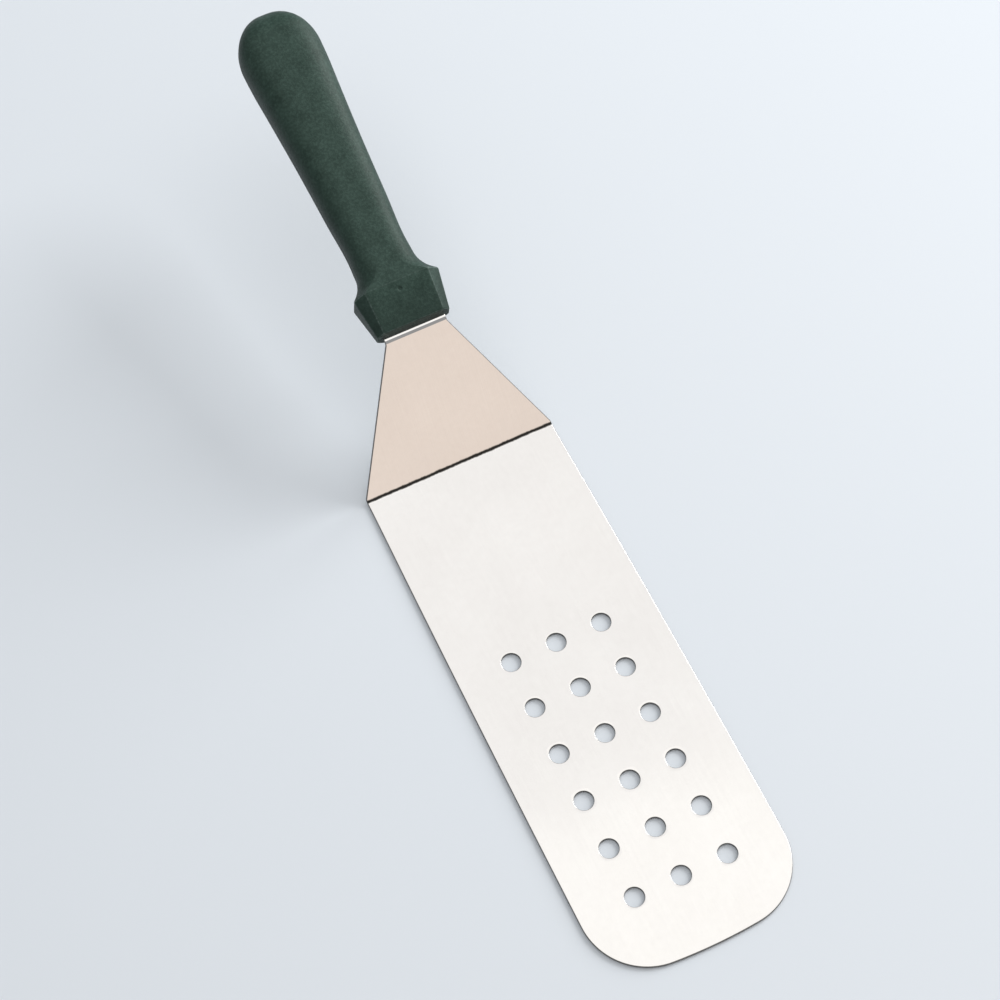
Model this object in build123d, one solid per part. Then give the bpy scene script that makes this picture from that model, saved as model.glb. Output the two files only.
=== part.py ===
"""Grill spatula: a perforated stainless turner with an offset shank and a moulded handle.

Two pieces make it. "blade" is one stamped and bent stainless sheet: the perforated face, the
shank, a short stub and the tang. "handle" is one plastic moulding round the tang, which locks
it through the holes in the tang.

Axes: +X across the blade, +Y from the blade towards the handle, +Z up off the surface that
the blade lies on. The origin is the middle of the whole object's footprint, on that surface.
The pieces are drawn with y = 0 at the heel bend, and moved to that origin at the end.
"""

from build123d import *
from math import cos, radians, sin, sqrt, tan
import os

# ---- Sheet ----
sheet = 1.2  # thickness
inner_bend_radius = 2.0
rim_rounding = 0.3  # the deburred outline of the blade, the shank and the stub
hole_rounding = 0.2  # the deburred rim of each perforation
shank_corner_radius = 3.0  # in the outline, where the shank starts to narrow

# ---- Blade, flat on the surface ----
blade_length = 200.5  # heel bend to the middle of the front edge
front_width = 76.2
heel_width = 73.8
flare_start = 18.0  # the sides widen gently between these distances from the heel
flare_end = 50.0
corner_radius = 24.0
front_edge_radius = 200.0  # the slightly bowed front edge

# ---- Perforations: a straight grid ----
hole_diameter = 7.0
hole_columns = 3
hole_rows = 6
column_pitch = 17.5
row_pitch = 19.0
heel_to_first_row = 79.2

# ---- Shank, from the heel bend up to the handle ----
shank_angle = 54.0  # above the blade
shank_length = 55.5  # between the two bend lines, on the top face
neck_width = 23.8  # of the sheet at the handle end of the shank

# ---- Handle line: the stub, the tang and the handle all lie along it ----
handle_angle = 11.0  # above the blade
stub_length = 1.8  # bend line to the bolster's front face

# ---- Tang, measured from the bolster's front face ----
tang_full_width_length = 4.0
tang_shoulder_end = 12.5
tang_width = 13.0
tang_end = 98.0
tang_lock_diameter = 6.0
tang_lock_stations = (38.0, 62.0, 86.0)

# ---- Handle, measured along its own line from the bolster's front face ----
handle_length = 131.5
bolster_length = 15.0
butt_start_across = 114.0  # where the butt starts to round off, seen from above
butt_start_upright = 120.5  # and seen from the side
pin_mark_diameter = 1.8  # dimples left by the pins that hold the tang in the mould
pin_mark_depth = 0.4
pin_mark_station = 12.0

# Each outline of the handle is half width, half height, the corner's share across and upright,
# and its fullness: 0 is a straight chamfer and 1 a full round corner.
bolster_front = (14.0, 4.7, 2.4, 2.4, 0.0)
bolster_rear = (16.4, 9.3, 4.2, 4.4, 0.0)
# The same from the bolster back to the swell: the station, then the outline.
grip_outlines = (
    (18.0, (13.9, 9.15, 6.2, 6.2, 0.45)),
    (21.5, (12.0, 9.05, 7.2, 7.4, 0.8)),
    (28.0, (11.2, 9.0, 8.2, 8.2, 1.0)),
    (50.0, (12.0, 9.4, 9.0, 8.6, 1.0)),
    (74.0, (13.1, 10.1, 9.9, 9.2, 1.0)),
    (95.0, (14.4, 10.8, 10.9, 9.8, 1.0)),
    (107.0, (15.2, 11.0, 11.5, 10.0, 1.0)),
)
swell = (15.4, 11.0, 11.6, 10.0, 1.0)
butt_turns = (0, 22, 40, 54, 65, 74, 81, 86)  # degrees round the butt, one outline at each

# ---- Bend lines on the sheet's top face ----
heel_line = Vector(0, 0, sheet)
shank_direction = Vector(0, cos(radians(shank_angle)), sin(radians(shank_angle)))
handle_direction = Vector(0, cos(radians(handle_angle)), sin(radians(handle_angle)))
handle_up = Vector(0, -sin(radians(handle_angle)), cos(radians(handle_angle)))
neck_line = heel_line + shank_direction * shank_length
bolster_face = neck_line + handle_direction * stub_length - handle_up * (sheet / 2)

# How far each bend's round reaches along the top face from its bend line.
heel_run = inner_bend_radius * tan(radians(shank_angle / 2))
neck_turn = shank_angle - handle_angle
neck_run = (inner_bend_radius + sheet) * tan(radians(neck_turn / 2))

# ---- How edges are picked out ----
same_place = 0.01  # lengths and places that differ by less than this are the same
through_sheet = 1.1 * sheet  # a straight edge shorter than this goes through the sheet


def plate_plane(origin, direction):
    """The plane on a plate's top face, with its x across the sheet and its y along it."""
    across = Vector(1, 0, 0)
    return Plane(origin=origin, x_dir=across, z_dir=across.cross(direction))


def plate(outline, plane):
    """A plate of the sheet below the outline, which is drawn on the plate's top face."""
    return extrude(plane * outline, amount=-sheet)


def blade_outline():
    """The flat blade seen from above: straight sides, round corners and a bowed front."""
    half_front, half_heel = front_width / 2, heel_width / 2
    front_centre = -blade_length + front_edge_radius
    corner_x = half_front - corner_radius
    reach = front_edge_radius - corner_radius
    corner_y = front_centre - sqrt(reach**2 - corner_x**2)
    # The front arc and the corner arc touch on the line through their two centres.
    touch_x = corner_x * front_edge_radius / reach
    touch_y = front_centre + (corner_y - front_centre) * front_edge_radius / reach
    spread = radians(45)
    corner_mid = (corner_x + corner_radius * cos(spread), corner_y - corner_radius * sin(spread))

    def mirrored(point):
        return (-point[0], point[1])

    heel, side, touch = (half_heel, -heel_run), (half_front, corner_y), (touch_x, touch_y)
    flare = [heel, (half_heel, -flare_start), (half_front, -flare_end), side]
    right = Bezier(*flare) + ThreePointArc(side, corner_mid, touch)
    front = ThreePointArc(touch, (0, -blade_length), mirrored(touch))
    left = ThreePointArc(mirrored(touch), mirrored(corner_mid), mirrored(side))
    left += Bezier(*[mirrored(point) for point in reversed(flare)])
    return make_face(right + front + left + Line(mirrored(heel), heel))


def perforations():
    """One disc at each place of the straight hole grid, on the blade's top face."""
    middle_row = -heel_to_first_row - row_pitch * (hole_rows - 1) / 2
    grid = GridLocations(column_pitch, row_pitch, hole_columns, hole_rows)
    return Pos(0, middle_row) * grid * Circle(hole_diameter / 2)


def shank_outline():
    """The shank on its own plane, from the full blade width down to the neck's width."""
    near, far = heel_run, shank_length - neck_run
    half_near, half_far = heel_width / 2, neck_width / 2
    corners = [(-half_near, near), (half_near, near), (half_far, far), (-half_far, far)]
    return make_face(Polyline(corners, close=True))


def tang_outline():
    """The stub and the tang on their own plane: full width, then shoulders, then a slim tang."""
    half, half_tang = neck_width / 2, tang_width / 2
    shoulder = stub_length + tang_full_width_length
    slim = stub_length + tang_shoulder_end
    end = stub_length + tang_end
    right = [(half, neck_run), (half, shoulder), (half_tang, slim), (half_tang, end)]
    left = [(-x, y) for x, y in reversed(right)]
    outline = make_face(Polyline(right + left, close=True))
    locks = [Pos(0, stub_length + y) * Circle(tang_lock_diameter / 2) for y in tang_lock_stations]
    return outline - locks


def bend(width, start, across_axis, turn):
    """The sheet's section turned about a bend axis, which lies across the sheet."""
    section = plate_plane(*start).location * Rot(90, 0, 0) * Pos(0, -sheet / 2)
    face = section * Rectangle(width, sheet)
    return revolve(face, Axis(across_axis, (1, 0, 0)), turn)


def blade_sheet():
    """The whole stainless piece: blade, heel bend, shank, neck bend, stub and tang."""
    along_blade = Vector(0, 1, 0)
    blade_plane = plate_plane(heel_line, along_blade)
    shank_plane = plate_plane(heel_line, shank_direction)
    tang_plane = plate_plane(neck_line, handle_direction)

    heel_start = heel_line - along_blade * heel_run
    heel_axis = heel_start + Vector(0, 0, inner_bend_radius)
    shank_end = neck_line - shank_direction * neck_run
    shank_down = Vector(0, sin(radians(shank_angle)), -cos(radians(shank_angle)))
    neck_axis = shank_end + shank_down * (inner_bend_radius + sheet)

    face = plate(blade_outline() - perforations(), blade_plane)
    heel_bend = bend(heel_width, (heel_start, along_blade), heel_axis, shank_angle)
    shank = plate(shank_outline(), shank_plane)
    neck_bend = bend(neck_width, (shank_end, shank_direction), neck_axis, -neck_turn)
    tang = plate(tang_outline(), tang_plane)
    return deburred(face + heel_bend + shank + neck_bend + tang)


def is_shank_corner(edge):
    """True for the edges through the sheet where the shank's tapering sides leave the heel."""
    centre = edge.center()
    on_side = abs(abs(centre.X) - heel_width / 2) < same_place
    return on_side and centre.Y > 0 and edge.length < through_sheet


def is_perforation_rim(edge):
    """True for the round edges of the perforations, on both faces of the blade."""
    round_edge = edge.geom_type == GeomType.CIRCLE
    return round_edge and abs(edge.radius - hole_diameter / 2) < same_place and edge.center().Y < 0


def is_outline_edge(edge):
    """True for the edges along the sheet's outline, on both faces, as far as the bolster."""
    centre = edge.center()
    straight = edge.geom_type == GeomType.LINE
    across = straight and abs(centre.X) < same_place
    through = straight and edge.length < through_sheet
    in_handle = centre.Y > bolster_face.Y + tang_full_width_length
    return not (across or through or in_handle or is_perforation_rim(edge))


def deburred(part):
    """The sheet with its outline and the rims of its perforations rounded off."""
    part = fillet(part.edges().filter_by(is_shank_corner), shank_corner_radius)
    part = fillet(part.edges().filter_by(is_outline_edge), rim_rounding)
    return fillet(part.edges().filter_by(is_perforation_rim), hole_rounding)


def handle_section(station, outline):
    """A closed outline across the handle: four flats joined by four chamfers or round corners."""
    half_width, half_height, corner_across, corner_upright, fullness = outline
    flat_x, flat_z = half_width - corner_across, half_height - corner_upright
    # The corner curve's middle control point goes from the chamfer's middle to the full corner.
    pull_x = flat_x + corner_across * (1 + fullness) / 2
    pull_z = flat_z + corner_upright * (1 + fullness) / 2
    quarter_turns = ((1, 1), (-1, 1), (-1, -1), (1, -1))
    edges = []
    for i, (sx, sz) in enumerate(quarter_turns):
        side, top = (sx * half_width, sz * flat_z), (sx * flat_x, sz * half_height)
        start, finish = (side, top) if i % 2 == 0 else (top, side)
        edges.append(Bezier(start, (sx * pull_x, sz * pull_z), finish))
    for i, edge in enumerate(list(edges)):
        edges.append(Line(edge @ 1, edges[(i + 1) % 4] @ 0))
    plane = Plane(
        origin=bolster_face + handle_direction * station,
        x_dir=(1, 0, 0),
        z_dir=-handle_direction,
    )
    return plane * make_face(edges)


def butt_outline(turn):
    """The butt's outline at a turn round it: two quarter ellipses that end together."""
    half_width, half_height, corner_across, corner_upright, fullness = swell
    station = butt_start_across + (handle_length - butt_start_across) * sin(radians(turn))
    across = cos(radians(turn))
    past = max(0.0, station - butt_start_upright) / (handle_length - butt_start_upright)
    upright = sqrt(1 - past**2)
    sizes = (half_width * across, half_height * upright)
    corners = (corner_across * across, corner_upright * upright)
    return station, (*sizes, *corners, fullness)


def handle_body():
    """The moulding's outside: the faceted bolster, then the grip as far as the round butt."""
    front = handle_section(0, bolster_front)
    rear = handle_section(bolster_length, bolster_rear)
    bolster = loft([front, rear], ruled=True)
    sections = [rear]
    sections += [handle_section(*station) for station in grip_outlines]
    sections += [handle_section(*butt_outline(turn)) for turn in butt_turns]
    return bolster + loft(sections)


def pin_marks():
    """The two shallow dimples on the bolster's centre line, above and below the tang."""
    share = pin_mark_station / bolster_length
    surface = bolster_front[1] + (bolster_rear[1] - bolster_front[1]) * share
    centre = bolster_face + handle_direction * pin_mark_station
    plane = Plane(origin=centre, x_dir=(1, 0, 0), z_dir=handle_up)
    pin = Cylinder(pin_mark_diameter / 2, 2 * pin_mark_depth)
    return [plane * Pos(0, 0, side * surface) * pin for side in (1, -1)]


blade = blade_sheet()
handle = handle_body() - pin_marks() - blade

box = Compound([blade, handle]).bounding_box()
to_origin = Pos(0, -(box.min.Y + box.max.Y) / 2, 0)

os.makedirs("parts", exist_ok=True)
for node, shape in {"blade": blade, "handle": handle}.items():
    export_step(to_origin * shape, f"parts/{node}.step")
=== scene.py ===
"""A perforated grill spatula on a pale studio floor: a polished steel sheet and a moulded handle.

Shapes are worked out in millimetres, in the part's own axes: +X across the blade, +Y from the
blade towards the handle and +Z up. make_piece turns them into metres as it makes a mesh.
"""

from math import atan2, cos, radians, sin, sqrt, tan

import bpy
import numpy as np
from mathutils import Euler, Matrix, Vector


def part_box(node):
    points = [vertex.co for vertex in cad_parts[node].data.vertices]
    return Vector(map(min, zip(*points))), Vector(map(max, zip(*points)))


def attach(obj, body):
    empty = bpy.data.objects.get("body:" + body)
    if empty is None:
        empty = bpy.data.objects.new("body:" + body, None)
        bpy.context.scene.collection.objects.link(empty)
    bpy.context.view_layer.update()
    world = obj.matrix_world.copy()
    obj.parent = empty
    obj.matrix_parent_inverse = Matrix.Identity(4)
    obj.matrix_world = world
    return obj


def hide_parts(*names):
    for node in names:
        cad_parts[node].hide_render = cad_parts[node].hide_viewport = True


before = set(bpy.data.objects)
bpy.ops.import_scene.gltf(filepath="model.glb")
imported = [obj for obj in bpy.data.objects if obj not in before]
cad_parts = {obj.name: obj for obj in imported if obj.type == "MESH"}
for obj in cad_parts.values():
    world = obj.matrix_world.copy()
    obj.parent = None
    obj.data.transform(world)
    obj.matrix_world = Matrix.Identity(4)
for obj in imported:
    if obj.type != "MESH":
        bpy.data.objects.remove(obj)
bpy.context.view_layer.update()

METRES = 0.001  # one millimetre

# ---- The steel sheet, as it was stamped and bent ----
SHEET = 1.2
INNER_BEND_RADIUS = 2.0
MIDDLE_BEND_RADIUS = INNER_BEND_RADIUS + SHEET / 2
BLADE_LENGTH = 200.5
HALF_FRONT, HALF_HEEL, HALF_NECK, HALF_TANG = 38.1, 36.9, 11.9, 6.5
FLARE = (18.0, 50.0)  # where the sides widen, as distances from the heel
CORNER_RADIUS, FRONT_RADIUS, SHANK_CORNER_RADIUS = 24.0, 200.0, 3.0
RIM_ROUNDING, HOLE_ROUNDING = 0.3, 0.2
HOLE_RADIUS = 3.5
COLUMN_PITCH, ROW_PITCH, COLUMNS, ROWS = 17.5, 19.0, 3, 6
HEEL_TO_FIRST_ROW = 79.2
SHANK_ANGLE, SHANK_LENGTH = radians(54), 55.5
HANDLE_ANGLE = radians(11)
STUB_LENGTH = 1.8
TANG_SHOULDER, TANG_SLIM, TANG_END = 4.0, 12.5, 98.0
NECK_TURN = SHANK_ANGLE - HANDLE_ANGLE
HEEL_RUN = INNER_BEND_RADIUS * tan(SHANK_ANGLE / 2)
NECK_RUN = (INNER_BEND_RADIUS + SHEET) * tan(NECK_TURN / 2)

# ---- The handle, as stations along its own line from the bolster's front face ----
# Each row is a station, half width, half height, the corner's share across and upright, and
# the corner's fullness, from 0 for a straight chamfer to 1 for a full round.
HANDLE_LENGTH, BOLSTER_LENGTH = 131.47, 15.0
BOLSTER = np.array([(0.0, 14.0, 4.7, 2.4, 2.4, 0.0), (15.0, 16.4, 9.3, 4.2, 4.4, 0.0)])
GRIP = np.array([
    (15.0, 16.4, 9.3, 4.2, 4.4, 0.0),
    (18.0, 13.9, 9.15, 6.2, 6.2, 0.45),
    (21.5, 12.0, 9.05, 7.2, 7.4, 0.8),
    (28.0, 11.2, 9.0, 8.2, 8.2, 1.0),
    (50.0, 12.0, 9.4, 9.0, 8.6, 1.0),
    (74.0, 13.1, 10.1, 9.9, 9.2, 1.0),
    (95.0, 14.4, 10.8, 10.9, 9.8, 1.0),
    (107.0, 15.2, 11.0, 11.5, 10.0, 1.0),
    (114.0, 15.4, 10.93, 11.6, 10.0, 1.0),
])
FRONT_HALF_HEIGHT = BOLSTER[0, 2]
BUTT_ACROSS, BUTT_UPRIGHT = 114.0, 120.5  # where the butt starts to round off, both ways
PIN_MARK_STATION, PIN_MARK_RADIUS, PIN_MARK_DEPTH = 12.0, 0.9, 0.4
EDGE_SOFTENING = 0.5  # on the bolster's edges
SOFTENED_TO, SOFTENING_FADE = 24.0, 6.0  # the station where it has faded out, and over how far
EDGE_CLEARANCE = 1.2  # from an edge's close rings to the ordinary ones beside them
PARTING_HEIGHT, PARTING_WIDTH = 0.1, 0.35  # the fine ridge where the mould's halves met
PARTING_START, PARTING_RISE, PARTING_FALL = 19.0, 3.0, 8.0  # where it starts, and how it fades

# ---- Camera, metres and degrees ----
CAMERA_PLACE = Vector((-0.16065, -0.40261, 0.84376))
CAMERA_AIM = Vector((0.00667, -0.0011, 0.0))
CAMERA_ROLL = -3.27
CAMERA_LENS = 94.9  # on a sensor 36 mm wide

HEEL_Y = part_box("blade")[0].y / METRES + BLADE_LENGTH


def make_piece(name, points, quads, slot, material, node):
    """A piece of the object from its points in millimetres, in place of one CAD node.

    The columns after x, y and z become attributes: height and along in millimetres, and edge,
    which is how far an edge of the handle has been rounded off.
    """
    points, quads = merged(points, quads)
    mesh = bpy.data.meshes.new(name)
    mesh.from_pydata(points[:, :3] * METRES, [], quads)
    for attribute, column in zip(("height", "along", "edge"), points.T[3:]):
        values = mesh.attributes.new(attribute, "FLOAT", "POINT")
        values.data.foreach_set("value", column.astype(np.float32))
    mesh.materials.append(material)
    mesh.shade_smooth()
    piece = bpy.data.objects.new(name, mesh)
    bpy.context.scene.collection.objects.link(piece)
    normals = piece.modifiers.new("flat_faces_stay_flat", "WEIGHTED_NORMAL")
    normals.weight = 100
    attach(piece, "root")
    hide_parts(node)
    return piece


def merged(points, quads, tolerance=0.01):
    """Joins points that round to the same place, and drops the corners and faces that closes up.

    The shift of 0.29 steps keeps whole numbers and their simple fractions off the limits.
    """
    keys = np.round(points[:, :3] / tolerance + 0.29).astype(np.int64)
    _, first, to_new = np.unique(keys, axis=0, return_index=True, return_inverse=True)
    quads = to_new.reshape(-1)[quads]
    faces = []
    for quad in quads.tolist():
        corners = [c for i, c in enumerate(quad) if c != quad[i - 1]]
        if len(set(corners)) == len(corners) > 2:
            faces.append(corners)
    return points[first], faces


def grid_quads(rows, columns, closed=False):
    """The quads of a grid of points; closed joins its last column to its first."""
    row, column = np.mgrid[0 : rows - 1, 0 : columns if closed else columns - 1]
    after = (column + 1) % columns
    corners = (row * columns + column, row * columns + after,
               (row + 1) * columns + after, (row + 1) * columns + column)
    return np.stack(corners, axis=-1).reshape(-1, 4)


def joined(patches):
    """One list of points and one of quads, from patches of (grid of points, closed, flipped)."""
    points, quads, count = [], [], 0
    for grid, closed, flipped in patches:
        rows, columns = grid.shape[:2]
        faces = grid_quads(rows, columns, closed)
        quads.append((faces[:, ::-1] if flipped else faces) + count)
        points.append(grid.reshape(-1, grid.shape[-1]))
        count += rows * columns
    return np.concatenate(points), np.concatenate(quads)


# ---------------------------------------------------------------- the steel sheet

def sheet_line():
    """The sheet's middle line seen from the side, as runs of (length, turn).

    A straight run has no turn, and a bend turns at a steady rate over its length.
    """
    return (
        (BLADE_LENGTH - HEEL_RUN, 0.0),
        (MIDDLE_BEND_RADIUS * SHANK_ANGLE, SHANK_ANGLE),
        (SHANK_LENGTH - HEEL_RUN - NECK_RUN, 0.0),
        (MIDDLE_BEND_RADIUS * NECK_TURN, -NECK_TURN),
        (STUB_LENGTH + HANDLE_LENGTH - NECK_RUN, 0.0),
    )


RUN_ENDS = np.cumsum([0.0] + [length for length, _ in sheet_line()])
BOLSTER_FACE = RUN_ENDS[5] - HANDLE_LENGTH  # as a distance from the front edge


def bent(across, along, height):
    """Carries points of the flat blank to the bent sheet.

    along is the distance from the front edge on the middle line, and height is above that line.
    On each run the line's angle grows steadily from the run's start, so the place is the start
    plus the chord: the length times sin(half turn) / (half turn), at the mean of both angles.
    The height is then laid off square to the line. The result keeps the height and the distance
    along the line as a fourth and a fifth column, for the materials.
    """
    y, z = np.zeros_like(along), np.zeros_like(along)
    start_y, start_z, angle = HEEL_Y - BLADE_LENGTH, SHEET / 2, 0.0
    for (length, turn), start in zip(sheet_line(), RUN_ENDS):
        here = along >= start
        step = np.clip(along - start, 0, length)
        turned = turn * step / length
        chord = step * np.sinc(turned / 2 / np.pi)
        mean = angle + turned / 2
        y = np.where(here, start_y + chord * np.cos(mean) - height * np.sin(angle + turned), y)
        z = np.where(here, start_z + chord * np.sin(mean) + height * np.cos(angle + turned), z)
        whole = length * np.sinc(turn / 2 / np.pi)
        start_y += whole * cos(angle + turn / 2)
        start_z += whole * sin(angle + turn / 2)
        angle += turn
    return np.stack([across, y, z, height, along], axis=-1)


def arc(centre, radius, start, end, count):
    """Points on an arc, from one angle to another in radians."""
    angle = np.linspace(start, end, count)
    return np.stack([centre[0] + radius * np.cos(angle), centre[1] + radius * np.sin(angle)], -1)


def run(start, end, count):
    """Evenly spaced points on a straight run, both ends included."""
    return np.linspace(start, end, count)


def blank_outline():
    """The flat blank's right-hand edge from the middle of the front to the tang's end.

    Each point is (across, along). In turn: the bowed front, the round corner, the side (a cubic
    that widens gently near the heel), the heel, a small round corner, the taper, and the tang.
    """
    corner = np.array([HALF_FRONT - CORNER_RADIUS, 0.0])
    reach = FRONT_RADIUS - CORNER_RADIUS
    corner[1] = FRONT_RADIUS - sqrt(reach**2 - corner[0] ** 2)
    lean = atan2(corner[0], FRONT_RADIUS - corner[1])
    front = arc((0, FRONT_RADIUS), FRONT_RADIUS, -radians(90), -radians(90) + lean, 12)
    round_corner = arc(corner, CORNER_RADIUS, -radians(90) + lean, 0, 28)

    heel = RUN_ENDS[1]
    first_hole_line = BLADE_LENGTH - HEEL_TO_FIRST_ROW - (ROWS - 0.5) * ROW_PITCH
    last_hole_line = first_hole_line + ROWS * ROW_PITCH
    before = round_corner[round_corner[:, 1] < first_hole_line - 0.5]
    beside_holes = run(first_hole_line, last_hole_line, ROWS * CELL_STEPS + 1)
    after = run(last_hole_line, heel, 16)[1:]
    side_along = np.concatenate([beside_holes, after])
    side = np.stack([side_width(side_along, corner, heel), side_along], -1)

    taper_start, taper_end = RUN_ENDS[2], RUN_ENDS[3]
    slope = (HALF_HEEL - HALF_NECK) / (taper_end - taper_start)
    cut = SHANK_CORNER_RADIUS * tan(np.arctan(slope) / 2)
    softened_from = taper_start - cut
    centre = (HALF_HEEL - SHANK_CORNER_RADIUS, softened_from)
    soft = arc(centre, SHANK_CORNER_RADIUS, 0, np.arctan(slope), 6)
    heel_bend = np.stack([np.full(9, HALF_HEEL), run(heel, softened_from, 9)], -1)[1:-1]
    taper = run(soft[-1], (HALF_NECK, taper_end), 14)[1:]
    neck_bend = run((HALF_NECK, taper_end), (HALF_NECK, RUN_ENDS[4]), 11)[1:]
    shoulder, slim = BOLSTER_FACE + TANG_SHOULDER, BOLSTER_FACE + TANG_SLIM
    stub = run((HALF_NECK, RUN_ENDS[4]), (HALF_NECK, shoulder), 4)[1:]
    shoulder = run((HALF_NECK, shoulder), (HALF_TANG, slim), 4)[1:]
    tang = run((HALF_TANG, slim), (HALF_TANG, BOLSTER_FACE + TANG_END), 8)[1:]
    return np.concatenate([front[:-1], before, side, heel_bend, soft, taper, neck_bend,
                           stub, shoulder, tang])


def side_width(along, corner, heel):
    """Half the blade's width: the round corner, and then the cubic from the heel's width.

    The cubic is a Bezier curve in (across, distance from the heel), read off at each distance.
    """
    t = np.linspace(0, 1, 400)
    basis = np.stack([(1 - t) ** 3, 3 * t * (1 - t) ** 2, 3 * t**2 * (1 - t), t**3])
    distance = np.array([HEEL_RUN, *FLARE, BLADE_LENGTH - corner[1]]) @ basis
    width = np.array([HALF_HEEL, HALF_HEEL, HALF_FRONT, HALF_FRONT]) @ basis
    cubic = np.interp(BLADE_LENGTH - along, distance, width)
    drop = np.clip(corner[1] - along, 0, CORNER_RADIUS)
    return np.where(along < corner[1], corner[0] + np.sqrt(CORNER_RADIUS**2 - drop**2), cubic)


CELL_STEPS = 12  # along each side of the cell round one perforation
BLOCK_HALF = COLUMNS * COLUMN_PITCH / 2
BLOCK_SHARE = 0.72  # of the blade's width that the middle columns of the grid take elsewhere
MARGIN_STEPS = 6


def rim_profile(rounding, steps=4):
    """The sheet's rounded edge as (inset, height): a quarter round, the wall, a quarter round."""
    angle = np.linspace(0, radians(90), steps + 1)
    inset = rounding * (1 - np.sin(angle))
    height = SHEET / 2 - rounding * (1 - np.cos(angle))
    return np.concatenate([inset, inset[::-1]]), np.concatenate([height, -height[::-1]])


def outward(edge):
    """The unit direction out of the blank at each point of its right-hand edge."""
    along_edge = np.gradient(edge, axis=0)
    along_edge[0] = (1, 0)
    normal = np.stack([along_edge[:, 1], -along_edge[:, 0]], -1)
    return normal / np.linalg.norm(normal, axis=1, keepdims=True)


def row_places(width):
    """Places across each row of a face, and how far each lies from the middle block to the side.

    The middle block is as wide as the perforated cells wherever the blank is wide enough.
    """
    middle = np.minimum(BLOCK_HALF, BLOCK_SHARE * width)[:, None]
    share = np.linspace(-1, 1, COLUMNS * CELL_STEPS + 1)
    margin = np.linspace(0, 1, MARGIN_STEPS + 1)[1:]
    outer = middle + (width[:, None] - middle) * margin
    across = np.concatenate([-outer[:, ::-1], middle * share, outer], axis=1)
    return across, np.concatenate([margin[::-1], 0 * share, margin])


def face_patches(edge, inner, height, flipped):
    """One face of the sheet, as flat grids on the blank that are bent into place.

    Rows run across the blank, between the two sides of the face. Where the perforations are, the
    middle of each row gives way to one cell for each hole: a grid that runs from the hole's
    circle out to the cell's rectangle, in straight lines. The rows beside a cell start on its
    corner, and end where the rounded outline starts.
    """
    first = BLADE_LENGTH - HEEL_TO_FIRST_ROW - (ROWS - 0.5) * ROW_PITCH
    last = first + ROWS * ROW_PITCH
    row = np.arange(len(edge))
    first_row, last_row = (np.argmin(abs(edge[:, 1] - line)) for line in (first, last))
    below, above = row <= first_row, row >= last_row
    beside = (row >= first_row) & (row <= last_row)
    width, along = inner[:, 0], np.where(beside, edge[:, 1], inner[:, 1])
    across, lean = row_places(width)
    rows = along[:, None] + (inner[:, 1] - along)[:, None] * lean
    level = np.full(across.shape, height)
    sides = slice(0, MARGIN_STEPS + 1), slice(-MARGIN_STEPS - 1, None)
    patches = [(bent(across[p], rows[p], level[p]), False, flipped) for p in (below, above)]
    for side in sides:
        parts = [array[beside][:, side] for array in (across, rows, level)]
        patches.append((bent(*parts), False, flipped))
    for x, y in hole_places():
        cell = cell_grid(x, y)
        flat = np.full(cell.shape[:2], height)
        patches.append((bent(cell[..., 0], cell[..., 1], flat), True, not flipped))
    return patches


def hole_places():
    """The middle of each perforation on the blank, as (across, along)."""
    across = (np.arange(COLUMNS) - (COLUMNS - 1) / 2) * COLUMN_PITCH
    along = BLADE_LENGTH - HEEL_TO_FIRST_ROW - np.arange(ROWS) * ROW_PITCH
    return [(x, y) for y in along for x in across]


def cell_loop():
    """Evenly spaced points round a cell's rectangle, anticlockwise from its right lower corner."""
    step = np.linspace(-1, 1, CELL_STEPS, endpoint=False)
    one = np.ones(CELL_STEPS)
    x = np.concatenate([one, -step, -one, step]) * COLUMN_PITCH / 2
    y = np.concatenate([step, one, -step, -one]) * ROW_PITCH / 2
    return x, y


def cell_grid(x, y, steps=4):
    """The sheet round one hole: straight lines from the hole's edge to the cell's rectangle."""
    loop_x, loop_y = cell_loop()
    angle = np.arctan2(loop_y, loop_x)
    radius = HOLE_RADIUS + HOLE_ROUNDING
    share = np.linspace(0, 1, steps + 1)[:, None] ** 1.5
    grid_x = radius * np.cos(angle) * (1 - share) + loop_x * share
    grid_y = radius * np.sin(angle) * (1 - share) + loop_y * share
    return np.stack([x + grid_x, y + grid_y], axis=-1)


def hole_wall(x, y):
    """The wall of one perforation: the rounded edge profile carried round the hole's circle."""
    loop_x, loop_y = cell_loop()
    angle = np.arctan2(loop_y, loop_x)
    inset, height = rim_profile(HOLE_ROUNDING)
    radius = (HOLE_RADIUS + inset)[:, None]
    level = np.broadcast_to(height[:, None], (len(height), len(angle)))
    return bent(x + radius * np.cos(angle), y + radius * np.sin(angle), level)


def edge_wall(edge, side):
    """The sheet's outline wall on one side: the rounded edge profile carried along the edge."""
    inset, height = rim_profile(RIM_ROUNDING)
    direction = outward(edge)
    flat = edge[None] - inset[:, None, None] * direction[None]
    level = np.broadcast_to(height[:, None], flat.shape[:2])
    return bent(side * flat[..., 0], flat[..., 1], level)


def sheet_surface():
    """The whole bent sheet: two faces, the wall along its outline and a wall in each hole."""
    edge = blank_outline()
    inner = edge - RIM_ROUNDING * outward(edge)
    inner[0] = (0, edge[0, 1] + RIM_ROUNDING)
    patches = face_patches(edge, inner, SHEET / 2, False)
    patches += face_patches(edge, inner, -SHEET / 2, True)
    patches += [(edge_wall(edge, 1), False, True), (edge_wall(edge, -1), False, False)]
    patches += [(hole_wall(x, y), True, False) for x, y in hole_places()]
    patches.append((tang_end_wall(edge), False, False))
    return joined(patches)


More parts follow.
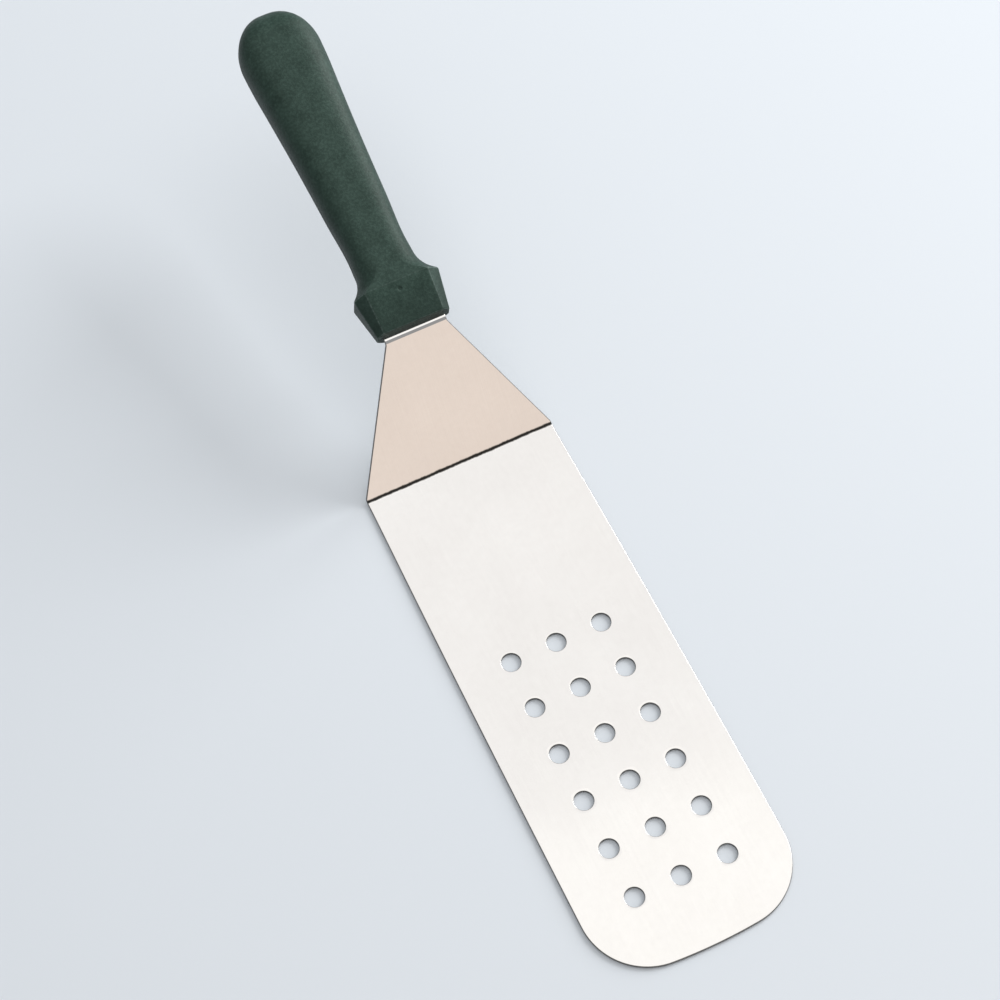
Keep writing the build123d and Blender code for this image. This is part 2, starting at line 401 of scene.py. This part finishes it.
def tang_end_wall(edge):
    """The square end of the tang, between the ends of its two side walls."""
    inset, height = rim_profile(RIM_ROUNDING)
    places, _ = row_places(edge[-1:, 0] - RIM_ROUNDING)
    across = (edge[-1, 0] - inset)[:, None] * places / places.max()
    along = np.full(across.shape, edge[-1, 1])
    return bent(across, along, np.broadcast_to(height[:, None], across.shape))


# ---------------------------------------------------------------- the moulded handle

DIMPLE_SHARES = np.linspace(0.1, 0.0125, 8)  # of the top flat's half, close enough for the dimple


def eased(count):
    """Steps from 0 to 1 that shorten towards 1: the sine of an even turn."""
    return np.sin(np.linspace(0, radians(90), count + 1))


def sharp_ring(outline, side_steps=8, corner_steps=16, top_steps=10):
    """Points round each outline of the handle, as (across, up), with its edges still sharp.

    outline holds half width, half height, the corner's two shares and its fullness in its last
    axis. A quarter goes up half of the side flat, round the corner and along half of the top
    flat. The corner is a quadratic Bezier curve whose middle control point lies between the
    chamfer's middle and the full corner. The other quarters mirror that one.
    """
    width, height, share_x, share_z, fullness = (value[:, None] for value in outline.T)
    flat_x, flat_z = width - share_x, height - share_z
    pull_x = flat_x + share_x * (1 + fullness) / 2
    pull_z = flat_z + share_z * (1 + fullness) / 2
    t = (1 - np.cos(np.linspace(0, np.pi, corner_steps + 1))) / 2
    side_share = eased(side_steps)[:-1]
    top_share = np.concatenate([eased(top_steps)[:0:-1], DIMPLE_SHARES, [0]])[1:]
    curve_x = width * (1 - t) ** 2 + 2 * pull_x * t * (1 - t) + flat_x * t**2
    curve_z = flat_z * (1 - t) ** 2 + 2 * pull_z * t * (1 - t) + height * t**2
    x = np.concatenate([width + 0 * side_share, curve_x, flat_x * top_share], axis=1)
    z = np.concatenate([flat_z * side_share, curve_z, height + 0 * top_share], axis=1)
    back = slice(-2, 0, -1)
    x = np.concatenate([x, -x[:, back], -x[:, :1], -x[:, 1:], x[:, back]], axis=1)
    z = np.concatenate([z, z[:, back], z[:, :1], -z[:, 1:], -z[:, back]], axis=1)
    return np.stack([x, z], axis=-1)


def softened(ring, reach):
    """A closed outline averaged over a reach either way along its length, which rounds its edges.

    The average is the change in the outline's running integral, divided by twice the reach.
    """
    closed = np.vstack([ring, ring[:1]])
    step = np.hypot(*np.diff(closed, axis=0).T)
    arc_length = np.concatenate([[0], np.cumsum(step)])
    middle = (closed[1:] + closed[:-1]) / 2
    integral = np.vstack([[0, 0], np.cumsum(middle * step[:, None], axis=0)])
    laps = np.concatenate([arc_length[:-1] - arc_length[-1], arc_length,
                           arc_length[1:] + arc_length[-1]])
    totals = np.vstack([integral[:-1] - integral[-1], integral, integral[1:] + integral[-1]])
    ends = [np.stack([np.interp(arc_length[:-1] + way * reach, laps, totals[:, axis])
                      for axis in (0, 1)], axis=-1) for way in (1, -1)]
    return (ends[0] - ends[1]) / (2 * reach)


def moved_inwards(sharp, soft):
    """How far softening moved each point square to its outline.

    That is the cross product of the move with the outline's direction there, which is taken
    from the point before to the point after.
    """
    direction = np.roll(sharp, -1, axis=1) - np.roll(sharp, 1, axis=1)
    move = soft - sharp
    square = direction[..., 0] * move[..., 1] - direction[..., 1] * move[..., 0]
    return abs(square) / (np.linalg.norm(direction, axis=-1) + 1e-9)


def smooth_rows(table, at):
    """A table read at any stations: a cubic between rows, with slopes from the rows beside."""
    stations, values = table[:, 0], table[:, 1:]
    slopes = np.gradient(values, stations, axis=0)
    i = np.clip(np.searchsorted(stations, at, side="right") - 1, 0, len(stations) - 2)
    gap = (stations[i + 1] - stations[i])[:, None]
    t = (at - stations[i])[:, None] / gap
    start, end = values[i], values[i + 1]
    leave, arrive = slopes[i] * gap, slopes[i + 1] * gap
    return (start * (1 + 2 * t) * (1 - t) ** 2 + leave * t * (1 - t) ** 2
            + end * t**2 * (3 - 2 * t) + arrive * t**2 * (t - 1))


def handle_outlines(path):
    """The station and the outline at each place on the path from the front face to the butt.

    Below 0 the path runs out across the front face, as an inset of the front outline. Then it is
    the station, up to where the butt rounds off. After that it is the turn round the butt in
    degrees, where the width is a quarter ellipse and the height another that starts later.
    """
    turn = np.radians(np.clip(path - BUTT_ACROSS, 0, 90))
    reach = HANDLE_LENGTH - BUTT_ACROSS
    station = np.clip(path, 0, BUTT_ACROSS) + reach * np.sin(turn)
    ruled = [np.interp(station, BOLSTER[:, 0], column) for column in BOLSTER[:, 1:].T]
    grip = smooth_rows(GRIP, np.clip(station, BOLSTER_LENGTH, BUTT_ACROSS))
    outline = np.where((station < BOLSTER_LENGTH)[:, None], np.stack(ruled, axis=-1), grip)
    past = np.clip(station - BUTT_UPRIGHT, 0, None) / (HANDLE_LENGTH - BUTT_UPRIGHT)
    upright = np.sqrt(np.clip(1 - past**2, 0, 1))
    outline[:, [0, 2]] *= np.cos(turn)[:, None]
    outline[:, [1, 3]] *= upright[:, None]
    inset = np.clip(-path, 0, FRONT_HALF_HEIGHT)
    outline[:, :2] -= inset[:, None]
    outline[:, 2:4] *= 1 - inset[:, None] / FRONT_HALF_HEIGHT
    return station, outline


def handle_surface():
    """The whole moulding: rings along the path, softened both ways, with its moulding marks."""
    rounding = EDGE_SOFTENING * np.linspace(-1.5, 1.5, 13)
    path = np.concatenate([
        run(-FRONT_HALF_HEIGHT, -EDGE_CLEARANCE, 6), rounding,
        run(EDGE_CLEARANCE, BOLSTER_LENGTH - EDGE_CLEARANCE, 48), BOLSTER_LENGTH + rounding,
        run(BOLSTER_LENGTH + EDGE_CLEARANCE, SOFTENED_TO, 28),
        run(SOFTENED_TO + 0.6, BUTT_ACROSS, 130), BUTT_ACROSS + 90 * run(0, 1, 61)[1:],
    ])
    way = np.linspace(-1, 1, 9)
    fade = np.clip((SOFTENED_TO - path) / SOFTENING_FADE, 0, 1)
    fade = fade * np.clip(path + FRONT_HALF_HEIGHT, 0, 1)
    rings, stations = 0, 0
    for offset in way * EDGE_SOFTENING:
        place = np.clip(path + offset * fade, -FRONT_HALF_HEIGHT, BUTT_ACROSS + 90)
        station, outline = handle_outlines(place)
        rings = rings + sharp_ring(outline) / len(way)
        stations = stations + station / len(way)
    reaches = EDGE_SOFTENING * np.clip(fade, 0.02, 1)
    rings = np.stack([softened(ring, reach) for ring, reach in zip(rings, reaches)])
    edge = moved_inwards(sharp_ring(handle_outlines(path)[1]), rings) * fade[:, None]
    across, up = rings[..., 0], rings[..., 1]
    station = np.broadcast_to(stations[:, None], across.shape)
    rise = np.clip((station - PARTING_START) / PARTING_RISE, 0, 1)
    fall = np.clip((HANDLE_LENGTH - 1 - station) / PARTING_FALL, 0, 1)
    seam = np.exp(-((up / PARTING_WIDTH) ** 2)) * rise * fall
    across = across + np.sign(across) * PARTING_HEIGHT * seam
    from_pin = np.hypot(across, station - PIN_MARK_STATION)
    dent = np.clip((PIN_MARK_RADIUS - from_pin) / (0.4 * PIN_MARK_RADIUS), 0, 1)
    up = up - np.sign(up) * PIN_MARK_DEPTH * dent
    surface = bent(across, BOLSTER_FACE + station, up)
    return joined([(np.concatenate([surface, edge[..., None]], axis=-1), True, True)])


# ---------------------------------------------------------------- materials

def add(tree, kind, inputs=None, **settings):
    """A new shader node. inputs gives its sockets a value, or another node's output to follow."""
    node = tree.nodes.new(kind)
    for name, value in settings.items():
        setattr(node, name, value)
    for name, value in (inputs or {}).items():
        if isinstance(value, bpy.types.NodeSocket):
            tree.links.new(value, node.inputs[name])
        else:
            node.inputs[name].default_value = value
    return node


def new_material(name, **sockets):
    """A material, its node tree and its surface shader with those sockets set."""
    material = bpy.data.materials.new(name)
    material.use_nodes = True
    tree = material.node_tree
    shader = tree.nodes["Principled BSDF"]
    for socket, value in sockets.items():
        shader.inputs[socket.replace("_", " ")].default_value = value
    return material, tree, shader


def grain(tree, scale, detail=2.0, roughness=0.5):
    """Noise on the piece's own coordinates, scaled by x, y and z in repeats for each metre."""
    place = add(tree, "ShaderNodeTexCoord").outputs["Object"]
    stretch = add(tree, "ShaderNodeMapping", {"Vector": place, "Scale": scale})
    inputs = {"Vector": stretch.outputs["Vector"], "Scale": 1.0, "Detail": detail,
              "Roughness": roughness}
    return add(tree, "ShaderNodeTexNoise", inputs).outputs["Fac"]


def spread(tree, value, low, high, to_low, to_high):
    """The value between two levels, stretched to run from one number to another."""
    inputs = {"Value": value, "From Min": low, "From Max": high, "To Min": to_low,
              "To Max": to_high}
    return add(tree, "ShaderNodeMapRange", inputs).outputs["Result"]


def between(tree, amount, low, high):
    """A colour between two, by an amount from 0 to 1."""
    ramp = add(tree, "ShaderNodeValToRGB", {"Fac": amount})
    ramp.color_ramp.elements[0].color = (*low, 1)
    ramp.color_ramp.elements[1].color = (*high, 1)
    return ramp.outputs["Color"]


def bump(tree, height, distance, strength=1.0, below=None):
    """A bump of that height in metres, laid over the bump below it."""
    inputs = {"Height": height, "Distance": distance, "Strength": strength}
    if below is not None:
        inputs["Normal"] = below
    return add(tree, "ShaderNodeBump", inputs).outputs["Normal"]


def carried(tree, name):
    """One of the piece's own attributes, in millimetres."""
    return add(tree, "ShaderNodeAttribute", attribute_name=name).outputs["Fac"]


def sums(tree, operation, *values):
    """Two or more values put together by one operation, from left to right."""
    total = values[0]
    for value in values[1:]:
        node = add(tree, "ShaderNodeMath", {0: total, 1: value}, operation=operation)
        total = node.outputs["Value"]
    return total


def band(tree, value, start, end, soft):
    """1 between two levels of a value and 0 outside them, with edges of that softness."""
    rise = spread(tree, value, start - soft, start + soft, 0, 1)
    fall = spread(tree, value, end - soft, end + soft, 1, 0)
    return sums(tree, "MULTIPLY", rise, fall)


def mixed(tree, amount, first, second):
    """A colour that goes from the first to the second as the amount goes from 0 to 1."""
    node = add(tree, "ShaderNodeMix", {"Factor": amount}, data_type="RGBA")
    for socket, colour in zip(("A", "B"), (first, second)):
        place = [i for i in node.inputs if i.name == socket and i.type == "RGBA"][0]
        if isinstance(colour, bpy.types.NodeSocket):
            tree.links.new(colour, place)
        else:
            place.default_value = (*colour, 1)
    return [o for o in node.outputs if o.type == "RGBA"][0]


def polished_steel():
    """Stainless sheet: a bright polish on the faces, dark cut edges and a dark line in the inner
    bend.

    The faces have a fine lengthwise grain, slow waves and faint smears. The shank has kept more
    of its polish than the blade. The walls of the outline and of the perforations were sheared,
    so they are rough, and their dark colour is partly painted shade inside the perforations and
    along the outline. The dark line in the heel's inner bend is a painted dark reflection.
    """
    material, tree, shader = new_material("polished_steel", Metallic=1.0)
    height, along = carried(tree, "height"), carried(tree, "along")
    lines = grain(tree, (5200, 45, 45), 3.0, 0.6)
    wisps = grain(tree, (900, 14, 14), 2.0)
    cloud = grain(tree, (26, 26, 26), 3.0)
    swell = grain(tree, (16, 16, 16), 0.0)
    mottle = grain(tree, (420, 420, 420), 3.0, 0.65)
    worn = spread(tree, along, RUN_ENDS[1] - 2, RUN_ENDS[2], 1, 0)
    tone = sums(tree, "ADD", spread(tree, cloud, 0.3, 0.7, 0, 0.5),
                spread(tree, mottle, 0.3, 0.7, 0, 0.3), spread(tree, lines, 0.3, 0.7, 0, 0.35))
    face = between(tree, tone, (0.785, 0.755, 0.725), (0.85, 0.825, 0.795))
    off_middle = sums(tree, "ABSOLUTE", height, 0.0)
    # The sheared walls are rough; their dark colour is partly painted shade inside the
    # perforations and along the outline.
    cut = spread(tree, off_middle, 0.54, 0.6, 1, 0)
    frayed = sums(tree, "ADD", along, spread(tree, mottle, 0.3, 0.7, -0.2, 0.2))
    # Painted dark reflection: a frayed dark line along the heel's inner bend, on its upper face.
    painted_bend_reflection = sums(tree, "MULTIPLY",
                  band(tree, frayed, RUN_ENDS[1] + 0.7, RUN_ENDS[2] - 0.2, 0.3),
                  spread(tree, height, 0, 0.5, 0, 1))
    # The walls' dark colour: the sheared steel's own dullness plus painted shade.
    colour = mixed(tree, cut, face, (0.20, 0.195, 0.19))
    # The painted dark reflection in the heel's inner bend.
    colour = mixed(tree, painted_bend_reflection, colour, (0.045, 0.042, 0.038))
    satin = sums(tree, "ADD", spread(tree, lines, 0.3, 0.7, 0.04, 0.12),
                 spread(tree, wisps, 0.35, 0.7, 0.0, 0.06))
    gloss = sums(tree, "ADD", 0.02, sums(tree, "MULTIPLY", worn, satin),
                 sums(tree, "MULTIPLY", sums(tree, "ADD", cut, painted_bend_reflection), 0.4))
    waves = bump(tree, swell, 0.00012)
    normal = bump(tree, lines, 0.0000010, worn, waves)
    tree.links.new(colour, shader.inputs["Base Color"])
    tree.links.new(gloss, shader.inputs["Roughness"])
    tree.links.new(normal, shader.inputs["Normal"])
    return material


def moulded_plastic():
    """Very dark green plastic: a fine, dull moulded texture, paler flecks and paler bolster edges.

    The sides are painted darker than the top and the underside: painted shade.
    """
    material, tree, shader = new_material("moulded_plastic", IOR=1.49, Specular_IOR_Level=0.2)
    cloud = grain(tree, (150, 150, 150), 3.0)
    fleck = grain(tree, (1000, 1000, 1000), 2.0, 0.6)
    pits = grain(tree, (3200, 3200, 3200), 2.0, 0.6)
    tone = sums(tree, "ADD", spread(tree, cloud, 0.3, 0.7, 0.0, 0.45),
                spread(tree, fleck, 0.42, 0.74, 0.0, 0.65))
    colour = between(tree, tone, (0.016, 0.036, 0.027), (0.043, 0.079, 0.063))
    off_middle = sums(tree, "ABSOLUTE", carried(tree, "height"), 0.0)
    # Painted shade: the sides, and the bolster's front face, are darker than the top and the
    # underside.
    clear_of_painted_shade = spread(tree, off_middle, 3.0, 8.5, 0.3, 1)
    colour = mixed(tree, clear_of_painted_shade, (0.009, 0.021, 0.016), colour)
    # Paler flecks along the bolster's softened edges.
    worn = sums(tree, "MULTIPLY", spread(tree, carried(tree, "edge"), 0.015, 0.11, 0, 1),
                spread(tree, fleck, 0.3, 0.6, 0.15, 0.75))
    colour = mixed(tree, worn, colour, (0.115, 0.155, 0.14))
    rough = spread(tree, pits, 0.3, 0.7, 0.42, 0.60)
    broad = bump(tree, fleck, 0.00010)
    normal = bump(tree, pits, 0.00006, 1.0, broad)
    tree.links.new(colour, shader.inputs["Base Color"])
    tree.links.new(rough, shader.inputs["Roughness"])
    tree.links.new(normal, shader.inputs["Normal"])
    return material


# ---------------------------------------------------------------- the studio

def make_camera():
    """The camera at its place, turned to its aim point and then rolled about its own axis."""
    data = bpy.data.cameras.new("camera")
    data.lens, data.sensor_width = CAMERA_LENS, 36.0
    camera = bpy.data.objects.new("camera", data)
    bpy.context.scene.collection.objects.link(camera)
    camera.location = CAMERA_PLACE
    aimed = (CAMERA_AIM - CAMERA_PLACE).to_track_quat("-Z", "Y")
    camera.rotation_mode = "QUATERNION"
    camera.rotation_quaternion = aimed @ Euler((0, 0, radians(CAMERA_ROLL))).to_quaternion()
    bpy.context.scene.camera = camera


def soft_light(name, place, aim, size, power, colour):
    """A rectangular soft light that faces its aim point, and that the camera doesn't see."""
    data = bpy.data.lights.new(name, "AREA")
    data.shape, data.size, data.size_y = "RECTANGLE", *size
    data.energy, data.color = power, colour
    light = bpy.data.objects.new(name, data)
    bpy.context.scene.collection.objects.link(light)
    light.location = place
    light.rotation_euler = (Vector(aim) - Vector(place)).to_track_quat("-Z", "Y").to_euler()
    light.visible_camera = False


def make_world():
    """An even, pale surround."""
    world = bpy.data.worlds.new("studio")
    bpy.context.scene.world = world
    world.use_nodes = True
    background = world.node_tree.nodes["Background"]
    background.inputs["Color"].default_value = (0.95, 0.97, 1.0, 1)
    background.inputs["Strength"].default_value = 0.37


def make_floor():
    """A plain pale floor that the blade lies flat on."""
    half = 3.0
    mesh = bpy.data.meshes.new("floor")
    corners = [(-half, -half, 0), (half, -half, 0), (half, half, 0), (-half, half, 0)]
    mesh.from_pydata(corners, [], [(0, 1, 2, 3)])
    floor = bpy.data.objects.new("floor", mesh)
    bpy.context.scene.collection.objects.link(floor)
    material, _, _ = new_material("floor", Base_Color=(0.715, 0.755, 0.795, 1), Roughness=0.9)
    mesh.materials.append(material)


make_camera()
bpy.context.scene.view_settings.view_transform = "Standard"
make_world()
make_floor()
soft_light("overhead", (0.3, 0.4, 1.6), (0.3, 0.4, 0.0), (2.4, 2.0), 11.0, (1, 1, 1))
soft_light("over_tip", (0.3, -0.05, 1.55), (0.3, -0.05, 0.0), (1.4, 0.9), 0.5, (1, 1, 0.9))
soft_light("right_key", (2.0, 0.5, 0.95), (0.0, 0.05, 0.0), (1.4, 1.4), 56.0, (1, 1, 1))
soft_light("front_card", (0.1, -1.1, 0.36), (0.0, 0.0, 0.05), (1.6, 0.54), 1.57,
           (1.0, 0.805, 0.665))

make_piece("blade_sheet", *sheet_surface(), "stainless_steel", polished_steel(), "blade")
make_piece("handle_moulding", *handle_surface(), "moulded_plastic", moulded_plastic(), "handle")
